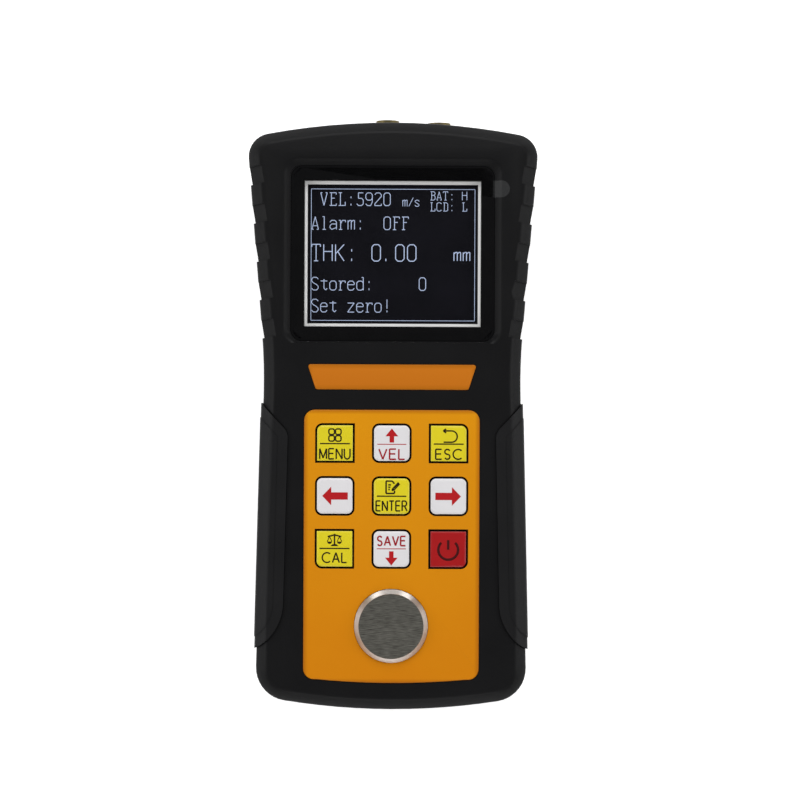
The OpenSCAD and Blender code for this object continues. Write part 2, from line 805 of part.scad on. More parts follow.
// Leads from the contacts to the underside of the board
lead_diameter = 1.2;
lead_inset = 3;
module socket_leads() {
    bend_y = crown_y - board_start - lead_inset;
    color(lead_grey) for (x = socket_places) translate([x, 0, socket_height]) {
        tail_y = seat_y(x) - barrel_length - contact_tail;
        translate([0, tail_y, 0]) rotate([90, 0, 0]) cylinder(h = tail_y - bend_y, d = lead_diameter);
        translate([0, bend_y, 0]) cylinder(h = board_floor - socket_height, d = lead_diameter);
        translate([0, bend_y, 0]) sphere(d = lead_diameter);
    }
}

// Circuit board, with the display and the key switches on it
board_length = case_length - board_start - board_end;
module main_board() {
    color(board_green) difference() {
        translate([-board_width / 2, heel_y + board_end, board_floor])
            cube([board_width, board_length, board_thickness]);
        at_board_screws(board_floor - cut) cylinder(h = board_thickness + 2 * cut, r = board_shank_hole);
    }
}
module key_switches() {
    color(part_black) for (row = [0:2], column = [-1:1]) key_place(column, row)
        translate([0, 0, board_top]) difference() {
            translate([-switch_size / 2, -switch_size / 2, 0])
                cube([switch_size, switch_size, switch_height]);
            translate([0, 0, well_floor]) cylinder(h = switch_height, d = stem_diameter + 2 * stem_gap);
        }
}
// Chips under the board, near its upper end: two large ones above two small ones
chip_height = 1.5;
large_chip = 14;
small_chip = 9;
chip_spread = 15;
chip_gap = 8;
module chip(x, high, size) {
    translate([x - size / 2, high - size, board_floor - chip_height]) cube([size, size, chip_height]);
}
module board_chips() {
    high = crown_y - board_start - chip_gap;
    color(part_black) for (x = [-chip_spread, chip_spread]) {
        chip(x, high, large_chip);
        chip(x, high - large_chip - chip_gap, small_chip);
    }
}
sounder_hole = 2;
module alarm_sounder() {
    color(part_black) translate([0, plate_y - plate_height, board_floor - sounder_height]) difference() {
        cylinder(h = sounder_height, d = sounder_diameter);
        translate([0, 0, -cut]) cylinder(h = 2 * cut, d = sounder_hole);
    }
}

// Battery bay in the rear shell, closed by a door that slides off at the heel
contact_plate = 0.4;
cell_gap = 0.3;
bay_slack = 0.6;
door_lift = 0.25;
door_top = door_lift + door_thickness;
groove_roof = door_top + slide_gap;
rail_height = 1.8;
rail_width = 1.6;
tongue_height = 0.8;
bay_half = cell_pitch / 2 + cell_diameter / 2 + bay_slack;
bay_length = cell_length + spring_room + 2 * contact_plate + 2 * cell_gap;
bay_low = heel_y + bay_start;
bay_high = bay_low + bay_length;
cell_z = groove_roof + cell_gap + cell_diameter / 2;
bay_roof = cell_z + cell_diameter / 2 + cell_gap;
door_high = bay_high + bay_wall;
door_half = door_width / 2;
groove_half = door_half + tongue_width + slide_gap;
rail_half = groove_half + rail_width;
sill_low = heel_y + wall + rail_width;
far_low = 2 * heel_y;
module block(x, y0, y1, z0, z1) {
    translate([-x, y0, z0]) cube([2 * x, y1 - y0, z1 - z0]);
}
module bay_body() {
    block(bay_half + bay_wall, bay_low - bay_wall, bay_high + bay_wall, wall - bond, bay_roof + bay_wall);
    block(rail_half, sill_low, door_high + rail_width, wall - bond, groove_roof + rail_height);
}
module bay_space() {
    block(bay_half, bay_low, bay_high, -cut, bay_roof);
    block(door_half + slide_gap, far_low, door_high + slide_gap, -cut, groove_roof);
    block(groove_half, far_low, door_high + slide_gap, door_top - tongue_height - slide_gap, groove_roof);
}
thumb_count = 5;
thumb_pitch = 2.4;
thumb_width = 1.2;
thumb_half = 9.2;
thumb_depth = 0.5;
module battery_door() {
    color(shell_black) difference() {
        intersection() {
            loft(rear_outside);
            union() {
                block(door_half, far_low, door_high, door_lift, door_top);
                block(door_half + tongue_width, far_low, door_high, door_top - tongue_height, door_top);
            }
        }
        for (i = [1:thumb_count]) {
            high = door_high - thumb_width - i * thumb_pitch;
            block(thumb_half, high - thumb_width, high, -cut, door_lift + thumb_depth);
        }
    }
}

// Two cells side by side, the right one turned round
button_diameter = 5.3;
button_height = 1.3;
cell_low = bay_low + contact_plate + cell_gap + spring_room;
cell_turn_low = bay_low + contact_plate + cell_gap;
module cell() {
    color(cell_brass) rotate([-90, 0, 0]) union() {
        cylinder(h = cell_length - button_height, d = cell_diameter);
        cylinder(h = cell_length, d = button_diameter);
    }
}
module battery_left() {
    translate([-cell_pitch / 2, cell_low, cell_z]) cell();
}
module battery_right() {
    translate([cell_pitch / 2, cell_turn_low + cell_length, cell_z]) rotate([0, 0, 180]) cell();
}
strip_width = 11.3;
strip_height = 9.6;
module contact_strip(x, width, y) {
    translate([x - width / 2, y, cell_z - strip_height / 2]) cube([width, contact_plate, strip_height]);
}
module battery_plates() {
    color(steel) {
        contact_strip(0, cell_pitch + strip_width, bay_low);
        for (x = [-1, 1]) contact_strip(x * cell_pitch / 2, strip_width, bay_high - contact_plate);
    }
}

// Conical contact spring, wound from the wide end on its plate to the narrow end on the cell
spring_wire = 0.8;
spring_wide = 4.6;
spring_narrow = 2.6;
spring_turns = 3.5;
spring_steps = 42;
spring_sides = 6;
module spring() {
    rise = spring_room + cell_gap - spring_wire;
    pitch = rise / (360 * spring_turns);
    points = [
        for (i = [0:spring_steps]) let (
            t = i / spring_steps,
            a = 360 * spring_turns * t,
            r = spring_wide + (spring_narrow - spring_wide) * t,
            out = [cos(a), sin(a), 0],
            along = [-sin(a), cos(a), pitch * 180 / PI / r],
            up = cross(out, along / norm(along))
        ) for (j = [0:spring_sides - 1]) let (b = 360 * j / spring_sides)
            r * out + [0, 0, spring_wire / 2 + rise * t] + spring_wire / 2 * (cos(b) * out + sin(b) * up)
    ];
    sides = [
        for (i = [0:spring_steps - 1]) for (j = [0:spring_sides - 1]) let (
            low = i * spring_sides,
            high = low + spring_sides,
            k = (j + 1) % spring_sides
        ) [low + j, high + j, high + k, low + k]
    ];
    start = [for (j = [0:spring_sides - 1]) j];
    end = [for (j = [spring_sides - 1:-1:0]) spring_steps * spring_sides + j];
    polyhedron(points, concat([start], sides, [end]));
}
module battery_springs() {
    color(steel) {
        translate([-cell_pitch / 2, bay_low + contact_plate, cell_z]) rotate([-90, 0, 0]) spring();
        translate([cell_pitch / 2, bay_high - contact_plate, cell_z]) rotate([90, 0, 0]) spring();
    }
}

// Front shell: bevelled tray with the seats, openings and bosses of the front
ledge_border = 2.4;
module front_shell() {
    color(shell_black) difference() {
        union() {
            difference() {
                loft(front_outside);
                loft(front_inside);
            }
            translate([0, 0, ledge_z]) linear_extrude(inner_z + bond - ledge_z) lens_shape(ledge_border);
            translate([0, block_y, ledge_z])
                cylinder(h = inner_z + bond - ledge_z, d = block_diameter + 2 * wall);
            at_case_screws(parting_height + fit_gap)
                cylinder(h = inner_z + bond - parting_height - fit_gap, r = pilot_hole + boss_wall);
            at_board_screws(board_top) cylinder(h = inner_z + bond - board_top, r = board_post);
        }
        rim_cut();
        translate([0, 0, lens_floor]) linear_extrude(lens_thickness + cut) lens_shape();
        translate([0, lens_y, ledge_z - cut]) linear_extrude(lens_ledge + 2 * cut)
            square([view_width + 2 * fit_gap, view_height + 2 * fit_gap], center = true);
        translate([0, 0, plate_floor]) linear_extrude(plate_thickness + cut) name_plate_shape($fn = 32);
        translate([0, 0, fascia_floor]) linear_extrude(fascia_seat + cut) fascia_shape();
        key_holes(inner_z - cut, front_z);
        translate([0, block_y, block_floor])
            cylinder(h = block_thickness, d = block_diameter + 2 * fit_gap);
        at_case_screws(parting_height - cut)
            cylinder(h = pilot_reach - parting_height + cut, r = pilot_hole);
        at_board_screws(board_top - cut)
            cylinder(h = post_reach + cut, d = board_screw_diameter + 2 * thread_gap);
        socket_holes();
        grip_seats();
        notches();
    }
}

// Rear shell: shallow tray with the battery bay and the screw towers
module rear_shell() {
    color(shell_black) difference() {
        union() {
            difference() {
                loft(rear_outside);
                loft(rear_inside);
            }
            bay_body();
            at_case_screws(wall - bond)
                cylinder(h = parting_height - fit_gap - wall + bond, r = counterbore + boss_wall);
        }
        bay_space();
        at_case_screws(-cut) {
            cylinder(h = head_seat + cut, r = counterbore);
            cylinder(h = parting_height + 2 * cut, r = shank_hole);
        }
        grip_seats();
        notches();
    }
}

front_shell();
rear_shell();
grip_left();
grip_right();
case_screws();
display_lens();
screen_film();
display_frame();
display_panel();
name_plate();
fascia_plate();
test_block();
key_menu();
key_up();
key_escape();
key_left();
key_enter();
key_right();
key_calibrate();
key_down();
key_power();
main_board();
board_chips();
key_switches();
alarm_sounder();
board_screws();
socket_left();
socket_right();
socket_nuts();
socket_insulators();
socket_contacts();
socket_leads();
battery_left();
battery_right();
battery_springs();
battery_plates();
battery_door();
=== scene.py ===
import math

import bpy
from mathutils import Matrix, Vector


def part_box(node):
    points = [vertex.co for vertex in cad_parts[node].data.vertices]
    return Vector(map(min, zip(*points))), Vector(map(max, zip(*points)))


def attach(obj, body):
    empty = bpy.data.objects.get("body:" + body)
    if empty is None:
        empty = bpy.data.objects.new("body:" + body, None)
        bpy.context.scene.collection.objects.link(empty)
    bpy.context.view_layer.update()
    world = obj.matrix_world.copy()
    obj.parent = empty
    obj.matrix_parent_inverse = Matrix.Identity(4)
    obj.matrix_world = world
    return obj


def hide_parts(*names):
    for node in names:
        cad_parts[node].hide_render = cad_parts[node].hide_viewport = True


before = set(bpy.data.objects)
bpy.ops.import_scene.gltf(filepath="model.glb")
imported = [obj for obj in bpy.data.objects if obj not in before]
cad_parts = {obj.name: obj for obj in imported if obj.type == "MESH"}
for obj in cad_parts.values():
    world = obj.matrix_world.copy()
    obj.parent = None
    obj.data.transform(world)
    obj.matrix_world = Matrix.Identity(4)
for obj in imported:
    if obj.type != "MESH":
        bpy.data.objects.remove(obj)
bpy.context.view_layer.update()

# Rear shell: the shallow tray that closes the case at the back and holds the battery bay.
# It is moulded in black ABS from a spark-eroded tool, which leaves a fine even grain, and four
# long screws pull it against the front shell.
MM = 0.001
WELD = 0.002 * MM
CREASE = 32


class Term:
    """A shader value that can stand in a Python sum."""

    def __init__(self, finish, socket):
        self.finish = finish
        self.socket = socket

    def __add__(self, other):
        return self.finish.sum("ADD", self, other)

    def __radd__(self, other):
        return self.finish.sum("ADD", other, self)

    def __sub__(self, other):
        return self.finish.sum("SUBTRACT", self, other)

    def __rsub__(self, other):
        return self.finish.sum("SUBTRACT", other, self)

    def __mul__(self, other):
        return self.finish.sum("MULTIPLY", self, other)

    def __rmul__(self, other):
        return self.finish.sum("MULTIPLY", other, self)

    def __truediv__(self, other):
        return self.finish.sum("DIVIDE", self, other)

    def __gt__(self, other):
        return self.finish.sum("GREATER_THAN", self, other)

    def __lt__(self, other):
        return self.finish.sum("LESS_THAN", self, other)

    def __abs__(self):
        return self.finish.sum("ABSOLUTE", self, 0)


class Finish:
    """A material with its Principled shader, fed by sums and textures on Object coordinates."""

    def __init__(self, name, **fixed):
        self.material = bpy.data.materials.new(name)
        self.material.use_nodes = True
        self.nodes = self.material.node_tree.nodes
        self.links = self.material.node_tree.links
        self.shader = self.nodes["Principled BSDF"]
        self.place = self.node("ShaderNodeTexCoord", {}, {}, "Object")
        for socket, value in fixed.items():
            self.feed(socket.replace("_", " "), value)

    def node(self, kind, settings, sockets, output=0):
        made = self.nodes.new(kind)
        for key, value in settings.items():
            setattr(made, key, value)
        for key, value in sockets.items():
            self.connect(made.inputs[key], value)
        return Term(self, made.outputs[output])

    def connect(self, socket, value):
        if isinstance(value, Term):
            self.links.new(value.socket, socket)
        else:
            socket.default_value = value

    def feed(self, socket, value):
        self.connect(self.shader.inputs[socket], value)

    def sum(self, operation, a, b):
        return self.node("ShaderNodeMath", {"operation": operation}, {0: a, 1: b})

    def axis(self, name):
        return self.node("ShaderNodeSeparateXYZ", {}, {0: self.place}, name)

    def noise(self, size, detail=2.0, stretch=None, distortion=0.0):
        place = self.place
        if stretch:
            place = self.node("ShaderNodeMapping", {}, {"Vector": place, "Scale": stretch})
        return self.node("ShaderNodeTexNoise", {}, {
            "Vector": place, "Scale": 1 / size, "Detail": detail, "Distortion": distortion})

    def mix(self, share, first, second):
        sockets = {0: share, 6: first, 7: second}
        return self.node("ShaderNodeMix", {"data_type": "RGBA"}, sockets, 2)

    def bump(self, height, depth):
        self.feed("Normal", self.node("ShaderNodeBump", {}, {"Height": height, "Distance": depth}))


def tone(red, green, blue):
    """A screen colour from 0 to 255 as the shader's linear colour."""
    return tuple(((c / 255 + 0.055) / 1.055) ** 2.4 if c > 10 else c / 255 / 12.92
                 for c in (red, green, blue)) + (1.0,)


def moulded(name, dark, light, grain, depth, rough, **fixed):
    """Moulded plastic: eroded grain in the surface, cloudy colour and gloss."""
    f = Finish(name, **fixed)
    pits = f.noise(grain, 3)
    cloud = f.noise(18 * MM, 3)
    f.feed("Base Color", f.mix(cloud, dark, light))
    f.feed("Roughness", rough + 0.10 * (cloud - 0.5) + 0.12 * (pits - 0.5))
    f.bump(pits, depth)
    return f.material


def paint(piece, material):
    piece.data.materials.clear()
    piece.data.materials.append(material)


def pick(piece):
    """Selects one piece alone, ready for an operator."""
    bpy.ops.object.select_all(action="DESELECT")
    piece.select_set(True)
    bpy.context.view_layer.objects.active = piece


def added(name, data):
    """A new piece in the scene, selected alone."""
    piece = bpy.data.objects.new(name, data)
    bpy.context.scene.collection.objects.link(piece)
    pick(piece)
    return piece


def copy_of(node, name, body, crease):
    """A copy of a CAD node with its triangles joined, shaded round up to the crease angle."""
    piece = added(name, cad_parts[node].data.copy())
    bpy.ops.object.mode_set(mode="EDIT")
    bpy.ops.mesh.select_all(action="SELECT")
    bpy.ops.mesh.remove_doubles(threshold=WELD)
    bpy.ops.mesh.customdata_custom_splitnormals_clear()
    bpy.ops.object.mode_set(mode="OBJECT")
    bpy.ops.object.shade_smooth_by_angle(angle=math.radians(crease))
    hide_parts(node)
    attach(piece, body)
    return piece


case_black = moulded("case_black", tone(16, 16, 17), tone(21, 21, 22), 0.32 * MM, 0.04 * MM, 0.44,
                     Specular_IOR_Level=0.11)
rear = copy_of("rear_shell", "rear_case", "case", CREASE)
paint(rear, case_black)

# Battery door: a flat black lid whose tongues run in grooves of the rear shell.
# It is moulded with the rear shell's grain, and five thumb ribs near its upper end push it off
# towards the heel.
door = copy_of("battery_door", "battery_lid", "battery_door_body", CREASE)
paint(door, case_black)

# Cells, springs and contact plates: two AA cells side by side, the right one turned round.
# The cells are nickel-plated steel cans in a printed sleeve, and the contacts are sprung,
# nickel-plated steel.
band_start, button_start = 0.72, 0.965
for node in ("battery_left", "battery_right"):
    low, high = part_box(node)
    f = Finish("sleeve_" + node, Metallic=0.85)
    along = (f.axis("Y") - low.y) / (high.y - low.y)
    if node == "battery_right":
        along = 1 - along
    scuff = f.noise(1.2 * MM, 4)
    sleeve = f.mix(along > band_start, tone(88, 106, 122), tone(188, 192, 194))
    f.feed("Base Color", f.mix(along > button_start, sleeve, tone(190, 190, 188)))
    f.feed("Roughness", 0.26 + 0.2 * scuff)
    f.bump(scuff, 0.01 * MM)
    paint(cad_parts[node], f.material)

f = Finish("nickel_wire", Metallic=1.0)
streaks = f.noise(0.6 * MM, 3)
f.feed("Base Color", f.mix(streaks, tone(150, 150, 148), tone(205, 204, 200)))
f.feed("Roughness", 0.22 + 0.18 * streaks)
f.bump(streaks, 0.008 * MM)
nickel = f.material
for node in ("battery_springs", "battery_plates", "board_screws", "socket_nuts"):
    paint(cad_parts[node], nickel)

# Circuit board: a green board under the front, with the chips, key switches and alarm sounder.
# The laminate shows tracks under its solder mask, the parts are black moulded plastic, and screws
# hold the board to posts of the front shell.
f = Finish("solder_mask", Coat_Weight=0.3)
tracks = f.node("ShaderNodeTexBrick", {"offset": 0.5}, {
    "Vector": f.place, "Scale": 120.0, "Mortar Size": 0.012, "Mortar Smooth": 0.1}, "Fac")
weave = f.noise(0.5 * MM, 2)
mask_green = f.mix(weave, tone(18, 78, 46), tone(26, 92, 56))
f.feed("Base Color", f.mix(tracks, mask_green, tone(46, 128, 78)))
f.feed("Roughness", 0.35 + 0.15 * weave)
f.bump(tracks, 0.03 * MM)
paint(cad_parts["main_board"], f.material)
part_black = moulded("part_black", tone(24, 24, 25), tone(34, 34, 35), 0.2 * MM, 0.02 * MM, 0.55)
for node in ("board_chips", "key_switches", "alarm_sounder"):
    paint(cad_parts[node], part_black)

# Display: a dark glass panel behind the lens, held in a frame on the circuit board.
# The frame is moulded plastic, white on its top rim and dark on its walls and inner lip, and
# the white rim carries a faint painted glow. The readout is drawn by the panel's lit dots: a thin
# border line and five rows of serif figures.
view_low, view_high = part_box("display_frame")
view_middle = (view_low + view_high) / 2
view_half = (view_high - view_low) / 2
rim_side, rim_top, rim_depth = 0.95 * MM, 1.2 * MM, 0.05 * MM
f = Finish("frame_white", Emission_Strength=0.1)
x, y, z = f.axis("X"), f.axis("Y"), f.axis("Z")
from_side = view_half.x - abs(x - view_middle.x)
lip = (from_side > rim_side) * (y > view_low.y + rim_side) * (y < view_high.y - rim_top)
wall = f.sum("MAXIMUM", z < view_high.z - rim_depth, lip)
fleck = f.noise(0.4 * MM, 3)
rim_white = f.mix(fleck, tone(212, 212, 211), tone(224, 224, 223))
f.feed("Base Color", f.mix(wall, rim_white, tone(20, 20, 22)))
# Painted glow: the white rim emits a faint light of its own, though the frame is no lamp.
f.feed("Emission Color", f.mix(wall, tone(250, 252, 252), tone(2, 2, 2)))
f.feed("Roughness", 0.4 + 0.15 * fleck)
f.bump(fleck, 0.01 * MM)
paint(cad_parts["display_frame"], f.material)

half_dot = 0.12 * MM
f = Finish("panel_glass", Specular_IOR_Level=0.12)
raster_x = f.sum("PINGPONG", f.axis("X"), half_dot) / half_dot
raster_y = f.sum("PINGPONG", f.axis("Y"), half_dot) / half_dot
cloud = f.noise(14 * MM, 2)
shade = raster_x * raster_y * 0.06 + cloud * 0.8
f.feed("Base Color", f.mix(shade, tone(14, 14, 17), tone(23, 23, 29)))
f.feed("Roughness", 0.11 + 0.05 * cloud)
paint(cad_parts["display_panel"], f.material)

f = Finish("lit_dots", Emission_Strength=0.6, Roughness=0.5)
shimmer = f.noise(0.7 * MM, 2)
f.feed("Base Color", f.mix(shimmer, tone(108, 118, 142), tone(136, 146, 170)))
f.feed("Emission Color", f.mix(shimmer, tone(150, 167, 202), tone(192, 208, 234)))
lit = f.material

# Each glyph is a row of pen strokes on a grid of four by seven, with its serifs
glyphs = {
    "V": "072047 0717 3747", "E": "1017 0747 4746 1434 0040 4041", "L": "1710 0727 0040 4042",
    "5": "471714344341301001", "9": "443313040617374642301001", "2": "0617374645010040 4041",
    "0": "103041463717060110", ":": "2021 2425", "m": "0005 04152520 24354540", "/": "0047",
    "s": "44351504133241301001", "A": "002740 1232 0010 3040", "l": "172720 1030",
    "a": "0415354440 431302011041", "r": "051510 0020 13254544", "O": "103041463717060110",
    "F": "1017 0747 4746 1434 0020", "T": "2720 0747 0706 4746 1030",
    "H": "0700 4740 0444", "K": "0700 4703 1440", ".": "1011",
    "S": "463717060514334241301001", "t": "26213041 0545", "o": "103041443515040110",
    "e": "03434435150401103041", "d": "4740 3747 4435150401103041",
    "B": "1710 073746453414 3443413000", "C": "4637170601103041", "D": "1710 003041463707",
    "z": "0545 4500 0040", "!": "2722 2021",
}
glyph_rows, glyph_column = 7, 0.18


def pen_strokes(name, strokes, width, level, flatness):
    """Strokes as one flat mesh, cut at sharp corners: points in metres, pen width, height."""
    sharp = math.radians(35)
    pen = bpy.data.curves.new(name, "CURVE")
    pen.dimensions = "3D"
    pen.bevel_depth = width / 2
    pen.bevel_resolution = 1
    pen.use_fill_caps = True
    runs = []
    for stroke in strokes:
        runs.append(stroke[:2])
        for before, corner, after in zip(stroke, stroke[1:], stroke[2:]):
            coming = math.atan2(corner[1] - before[1], corner[0] - before[0])
            going = math.atan2(after[1] - corner[1], after[0] - corner[0])
            if abs(math.remainder(going - coming, math.tau)) > sharp:
                runs.append([corner])
            runs[-1] = runs[-1] + [after]
    for run in runs:
        spline = pen.splines.new("POLY")
        spline.points.add(len(run) - 1)
        for point, (x, y) in zip(spline.points, run):
            point.co = (x, y, 0, 1)
    added(name, pen)
    bpy.ops.object.convert(target="MESH")
    piece = bpy.context.object
    piece.scale.z = flatness
    piece.location.z = level
    bpy.ops.object.transform_apply(location=True, rotation=True, scale=True)
    return piece


def typed(text, left, base, height, step):
    """The strokes of a row of glyphs, a fixed step apart and three quarters of it wide."""
    unit = height / glyph_rows
    return [
        [(left + (i + int(pen[k]) * glyph_column) * step, base + int(pen[k + 1]) * unit)
         for k in range(0, len(pen), 2)]
        for i, letter in enumerate(text) if letter in glyphs for pen in glyphs[letter].split()
    ]


panel_low, panel_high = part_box("display_panel")
panel_middle = (panel_low + panel_high) / 2


def on_screen(text, left, base, height, step):
    """A row of glyphs placed in millimetres from the middle of the panel."""
    return typed(text, panel_middle.x + left * MM, panel_middle.y + base * MM,
                 height * MM, step * MM)


row_type, small_type, large_type = (4.4, 3.12), (2.9, 2.2), (5.7, 4.1)
margin = -28.0
rows = (
    on_screen("VEL:5920", -25.0, 16.7, *row_type) + on_screen("OFF", -3.1, 8.4, *row_type)
    + on_screen("Alarm:", margin, 8.4, *row_type) + on_screen("Stored:", margin, -12.6, *row_type)
    + on_screen("0", 9.2, -12.6, *row_type) + on_screen("Set zero!", margin, -20.2, *row_type)
)
small_rows = (
    on_screen("m/s", 3.4, 16.5, 3.0, 2.1) + on_screen("BAT: H", 13.0, 18.7, *small_type)
    + on_screen("LCD: L", 13.0, 14.9, *small_type)
)
large_row = (
    on_screen("THK:", margin, -2.5, *large_type) + on_screen("0.00", -7.2, -2.5, *large_type)
    + on_screen("mm", 21.2, -2.3, 4.1, 3.2)
)
left, right = panel_middle.x - 28.25 * MM, panel_middle.x + 28.4 * MM
foot, top = panel_middle.y - 23.1 * MM, panel_middle.y + 22.4 * MM
border_line = [[(left, foot), (right, foot), (right, top), (left, top), (left, foot)]]
dot_level, dot_flatness = panel_high.z + 0.01 * MM, 0.15
for name, strokes, width in (
    ("readout_rows", rows, 0.26), ("readout_small", small_rows, 0.21),
    ("readout_large", large_row, 0.32), ("readout_border", border_line, 0.19),
):
    piece = pen_strokes(name, strokes, width * MM, dot_level, dot_flatness)
    paint(piece, lit)
    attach(piece, "case")

# Probe sockets: two gold-plated coaxial sockets in the crown, turned from brass.
# Nuts hold them from inside, white insulators carry the gold contacts, and grey leads run to
# the board.
f = Finish("gold_plate", Metallic=1.0)
turning = f.noise(0.25 * MM, 3, (0.2, 4.0, 0.2))
f.feed("Base Color", f.mix(turning, tone(84, 76, 52), tone(122, 110, 76)))
f.feed("Roughness", 0.34 + 0.16 * turning)
f.bump(turning, 0.01 * MM)
gold = f.material
for node in ("socket_left", "socket_right", "socket_contacts"):
    paint(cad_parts[node], gold)
insulator_white = moulded("insulator_white", tone(216, 212, 200), tone(232, 229, 220),
                          0.3 * MM, 0.01 * MM, 0.5)
paint(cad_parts["socket_insulators"], insulator_white)
lead_grey = moulded("lead_grey", tone(70, 70, 74), tone(92, 92, 96), 0.25 * MM, 0.02 * MM, 0.55)
paint(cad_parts["socket_leads"], lead_grey)

# Front shell: the deep tray that carries everything seen from the front.
# It is moulded in the same grained black ABS, with a wide bevel round the face, finger notches
# down the upper edges and a sloped rim round the lens.
def round_edges(piece, width, least, most, chosen):
    """Rounds the edges of a copy that bend between two angles and lie where chosen says."""
    flat = math.radians(0.2)
    pick(piece)
    bpy.ops.object.mode_set(mode="EDIT")
    bpy.ops.mesh.select_mode(type="EDGE")
    bpy.ops.mesh.select_all(action="SELECT")
    bpy.ops.mesh.dissolve_limited(angle_limit=flat)
    bpy.ops.mesh.select_all(action="DESELECT")
    bpy.ops.object.mode_set(mode="OBJECT")
    mesh = piece.data
    sides = {}
    for face in mesh.polygons:
        for key in face.edge_keys:
            sides.setdefault(key, []).append(face.normal)
    for edge in mesh.edges:
        first, second = sides[edge.key]
        start, end = (mesh.vertices[i].co for i in edge.vertices)
        edge.select = (least < math.degrees(first.angle(second)) < most
                       and chosen((start + end) / 2))
    bpy.ops.object.mode_set(mode="EDIT")
    bpy.ops.mesh.bevel(offset=width, segments=3, affect="EDGES", clamp_overlap=False)
    bpy.ops.object.mode_set(mode="OBJECT")
    bpy.ops.object.shade_smooth_by_angle(angle=math.radians(CREASE))


front = copy_of("front_shell", "front_case", "case", CREASE)
on_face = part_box("front_shell")[1].z - 0.05 * MM
round_edges(front, 0.6 * MM, 15, 60, lambda place: place.z > on_face)
paint(front, case_black)

# Lens: a sheet of hard-coated acrylic, bonded into the front shell.
# It is printed black from behind round a clear window over the display.
window_gap = 0.25 * MM
f = Finish("printed_acrylic", Roughness=0.04, Specular_IOR_Level=0.25)
window = ((abs(f.axis("X") - view_middle.x) < view_half.x + window_gap)
          * (abs(f.axis("Y") - view_middle.y) < view_half.y + window_gap))
smear = f.noise(9 * MM, 3, None, 0.6)
f.feed("Base Color", f.mix(smear, tone(9, 9, 10), tone(15, 15, 16)))
f.feed("Alpha", 1 - window)
paint(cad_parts["display_lens"], f.material)

# Protective film: a thin clear plastic sheet laid over the lens when the gauge leaves the works.
# Its frosted pull tab bends up over the rim beside the upper right corner.
tab_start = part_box("display_lens")[1].x - 0.6 * MM
f = Finish("film_clear", Roughness=0.3, Specular_IOR_Level=0.2)
tab = f.axis("X") > tab_start
frost = f.noise(0.5 * MM, 3)
f.feed("Base Color", f.mix(frost, tone(84, 85, 86), tone(104, 105, 106)))
f.feed("Alpha", tab * (0.08 + 0.06 * frost))
f.bump(frost, 0.01 * MM)
paint(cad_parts["screen_film"], f.material)

# Name plate and fascia: two orange plates sunk into the front, the name plate left bare.
# They are cut from screen-printed sheet with a fine satin grain, darker towards their lower end.
# Their outline is rolled over, painted shade darkens the print towards it, and the lower part of
# the rolled edges is painted dark brown as shade of the gaps round them, also round the key holes.
def printed_sheet(name, node, dark, light):
    edge_shade, hole_zone = 1.7 * MM, 1.5
    outline_drop, hole_drop = 0.2 * MM, 0.02 * MM
    f = Finish(name, Specular_IOR_Level=0.13)
    x, y, z = f.axis("X"), f.axis("Y"), f.axis("Z")
    grain = f.noise(0.22 * MM, 2)
    cloud = f.noise(22 * MM, 3)
    low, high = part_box(node)
    along = (y - low.y) / (high.y - low.y)
    from_side = (high.x - low.x) / 2 - abs(x - (high.x + low.x) / 2)
    from_end = f.sum("MINIMUM", high.y - y, y - low.y)
    inward = f.sum("MINIMUM", from_side, from_end) / edge_shade
    # Painted shade of the gaps: below the top, the rolled edges are dark brown, round the outline
    # and the key holes.
    edge_gap_shade = z < high.z - outline_drop + (outline_drop - hole_drop) * (inward > hole_zone)
    # The sheet is darker towards its lower end, with random clouding and grain.
    sheet_colour = f.mix(along * 0.6 + cloud * 0.3 + grain * 0.1, dark, light)
    # Painted shade: the sheet is mixed towards dark orange near its outline.
    sheet = f.mix(inward, tone(168, 96, 5), sheet_colour)
    f.feed("Base Color", f.mix(edge_gap_shade, sheet, tone(44, 22, 4)))
    f.feed("Roughness", 0.42 + 0.12 * grain + 0.2 * edge_gap_shade)
    f.bump(grain, 0.015 * MM)
    return f.material


def level_faces(piece):
    """Keeps the shading of flat faces flat up to their rounded edges."""
    bpy.ops.object.modifier_add(type="WEIGHTED_NORMAL")
    piece.modifiers[-1].keep_sharp = True
    bpy.ops.object.modifier_apply(modifier=piece.modifiers[-1].name)


TOP_SLACK = 0.02 * MM
name_plate = copy_of("name_plate", "bare_plate", "case", CREASE)
name_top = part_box("name_plate")[1].z - TOP_SLACK
round_edges(name_plate, 0.3 * MM, 60, 100, lambda place: place.z > name_top)
level_faces(name_plate)
name_orange = printed_sheet("name_orange", "name_plate", tone(184, 103, 16), tone(196, 113, 22))
paint(name_plate, name_orange)

fascia_low, fascia_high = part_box("fascia_plate")
fascia_top = fascia_high.z - TOP_SLACK
holes_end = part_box("key_down")[0].y
outline_band = 2.5 * MM


def near_outline(place):
    return (abs(place.x) > fascia_high.x - outline_band
            or place.y > fascia_high.y - outline_band
            or place.y < fascia_low.y + outline_band)


fascia = copy_of("fascia_plate", "keypad_plate", "case", CREASE)
round_edges(fascia, 0.45 * MM, 60, 100,
            lambda place: place.z > fascia_top and near_outline(place))
round_edges(fascia, 0.15 * MM, 60, 100,
            lambda place: place.z > fascia_top and place.y > holes_end and not near_outline(place))
level_faces(fascia)
fascia_orange = printed_sheet("fascia_orange", "fascia_plate", tone(200, 116, 4), tone(215, 145, 8))
paint(fascia, fascia_orange)

